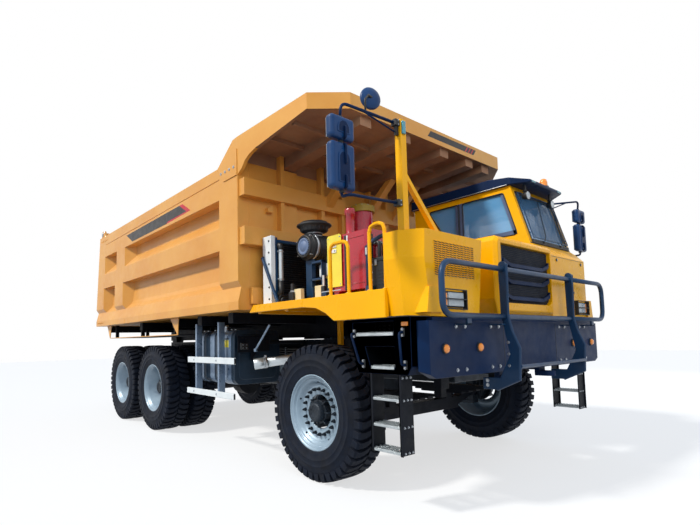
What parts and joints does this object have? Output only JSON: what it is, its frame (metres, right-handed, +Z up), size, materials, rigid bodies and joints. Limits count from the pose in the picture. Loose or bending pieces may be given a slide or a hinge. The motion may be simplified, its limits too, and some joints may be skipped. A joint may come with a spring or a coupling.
{
  "type": "mining dump truck",
  "caption": "Wide-body off-highway dump truck with an offset cab, a rock body with a canopy, and a front hoist that tips the body.",
  "frame": {"origin": "on the ground, under the middle of the whole truck's box", "axes": "+Y to the tail, +X to the truck's left, +Z up"},
  "size_m": [4.65, 8.4316, 3.813],
  "materials": {
    "bed_paint": "satin ochre enamel",
    "cab_paint": "gloss yellow enamel",
    "steel_blue": "satin blue-grey enamel",
    "frame_black": "matt chassis black",
    "tyre_rubber": "matt",
    "rim_paint": "silver-grey enamel",
    "glass": "clear, slightly green",
    "tank_red": "gloss",
    "aluminium": "mill finish",
    "black_plastic": "grained",
    "mirror_plastic": "smooth",
    "seat": "woven",
    "hoist_red": "gloss",
    "hoist_chrome": "polished"
  },
  "bodies": {
    "chassis": {"air_cleaner": "black_plastic", "battery_box": "steel_blue", "bumper": "steel_blue", "cab_glass": "glass", "cab_interior": "seat", "cab_roof": "steel_blue", "cab_shell": "cab_paint", "chassis_frame": "frame_black", "cooler_pack": "aluminium", "deck": "cab_paint", "driveline": "frame_black", "engine_block": "frame_black", "exhaust": "aluminium", "front_axle": "frame_black", "fuel_tanks": "aluminium", "grille": "steel_blue", "grille_housing": "cab_paint", "guard_bar": "steel_blue", "handrails": "cab_paint", "headlamps": "black_plastic", "hydraulic_tank": "tank_red", "ladders": "steel_blue", "left_panel": "cab_paint", "mirrors_left": "mirror_plastic", "mirrors_right": "mirror_plastic", "rear_axles": "frame_black", "right_cowl": "cab_paint", "side_rails": "aluminium", "step_housings": "steel_blue"},
    "bed": {"bed_shell": "bed_paint", "bed_side_frames": "bed_paint", "bed_headboard": "bed_paint", "bed_canopy": "bed_paint", "bed_subframe": "bed_paint", "mudguards": "bed_paint"},
    "tailgate": {"tailgate": "bed_paint"},
    "hoist_foot": {"hoist_foot": "hoist_chrome"},
    "hoist_stage_1": {"hoist_stage_1": "hoist_chrome"},
    "hoist_stage_2": {"hoist_stage_2": "hoist_chrome"},
    "hoist_cover": {"hoist_cover": "hoist_red"},
    "knuckle_left": {"knuckle_left": "frame_black"},
    "knuckle_right": {"knuckle_right": "frame_black"},
    "wheel_front_left": {"tyre_front_left": "tyre_rubber", "rim_front_left": "rim_paint"},
    "wheel_front_right": {"tyre_front_right": "tyre_rubber", "rim_front_right": "rim_paint"},
    "wheels_mid_left": {"tyres_mid_left": "tyre_rubber", "rims_mid_left": "rim_paint"},
    "wheels_mid_right": {"tyres_mid_right": "tyre_rubber", "rims_mid_right": "rim_paint"},
    "wheels_rear_left": {"tyres_rear_left": "tyre_rubber", "rims_rear_left": "rim_paint"},
    "wheels_rear_right": {"tyres_rear_right": "tyre_rubber", "rims_rear_right": "rim_paint"},
    "door_left": {"door_left": "cab_paint", "door_glass": "glass"}
  },
  "joints": [
    {"name": "steer_left", "type": "hinge", "parent": "chassis", "child": "knuckle_left", "pos_m": [1.175, -2.5585, 0.66573], "axis": [0, 0, 1], "range_deg": [-35, 35]},
    {"name": "spin_front_left", "type": "hinge", "parent": "knuckle_left", "child": "wheel_front_left", "pos_m": [1.445, -2.5585, 0.66573], "axis": [1, 0, 0], "continuous": true},
    {"name": "spin_mid_left", "type": "hinge", "parent": "chassis", "child": "wheels_mid_left", "pos_m": [1.572, 1.2915, 0.66573], "axis": [1, 0, 0], "continuous": true},
    {"name": "spin_rear_left", "type": "hinge", "parent": "chassis", "child": "wheels_rear_left", "pos_m": [1.572, 2.7715, 0.66573], "axis": [1, 0, 0], "continuous": true},
    {"name": "steer_right", "type": "hinge", "parent": "chassis", "child": "knuckle_right", "pos_m": [-1.175, -2.5585, 0.66573], "axis": [0, 0, 1], "range_deg": [-35, 35]},
    {"name": "spin_front_right", "type": "hinge", "parent": "knuckle_right", "child": "wheel_front_right", "pos_m": [-1.445, -2.5585, 0.66573], "axis": [1, 0, 0], "continuous": true},
    {"name": "spin_mid_right", "type": "hinge", "parent": "chassis", "child": "wheels_mid_right", "pos_m": [-1.572, 1.2915, 0.66573], "axis": [1, 0, 0], "continuous": true},
    {"name": "spin_rear_right", "type": "hinge", "parent": "chassis", "child": "wheels_rear_right", "pos_m": [-1.572, 2.7715, 0.66573], "axis": [1, 0, 0], "continuous": true},
    {"name": "bed_tilt", "type": "hinge", "parent": "chassis", "child": "bed", "pos_m": [0, 3.4915, 1.45], "axis": [-1, 0, 0], "range_deg": [0, 45]},
    {"name": "tailgate_swing", "type": "hinge", "parent": "bed", "child": "tailgate", "pos_m": [0, 3.7715, 3.59], "axis": [1, 0, 0], "range_deg": [0, 75]},
    {"name": "hoist_foot_hinge", "type": "hinge", "parent": "chassis", "child": "hoist_foot", "pos_m": [0, -1.7465, 0.985], "axis": [-1, 0, 0], "range_deg": [0, 21.51]},
    {"name": "hoist_slide_1", "type": "slide", "parent": "hoist_foot", "child": "hoist_stage_1", "axis": [0, 0, 1], "range_m": [0, 1.3189]},
    {"name": "hoist_slide_2", "type": "slide", "parent": "hoist_stage_1", "child": "hoist_stage_2", "axis": [0, 0, 1], "range_m": [0, 1.3189]},
    {"name": "hoist_slide_3", "type": "slide", "parent": "hoist_stage_2", "child": "hoist_cover", "axis": [0, 0, 1], "range_m": [0, 1.3189]},
    {"name": "door_swing", "type": "hinge", "parent": "chassis", "child": "door_left", "pos_m": [1.616, -3.5605, 2], "axis": [0, 0, -1], "range_deg": [0, 75]}
  ],
  "couplings": [
    {"joint": "steer_right", "follows": "steer_left", "ratio": 1},
    {"joint": "hoist_foot_hinge", "follows": "bed_tilt", "ratio": 0.47757},
    {"joint": "hoist_slide_1", "follows": "bed_tilt", "m_per_rad": 1.6787},
    {"joint": "hoist_slide_2", "follows": "bed_tilt", "m_per_rad": 1.6787},
    {"joint": "hoist_slide_3", "follows": "bed_tilt", "m_per_rad": 1.6787}
  ]
}
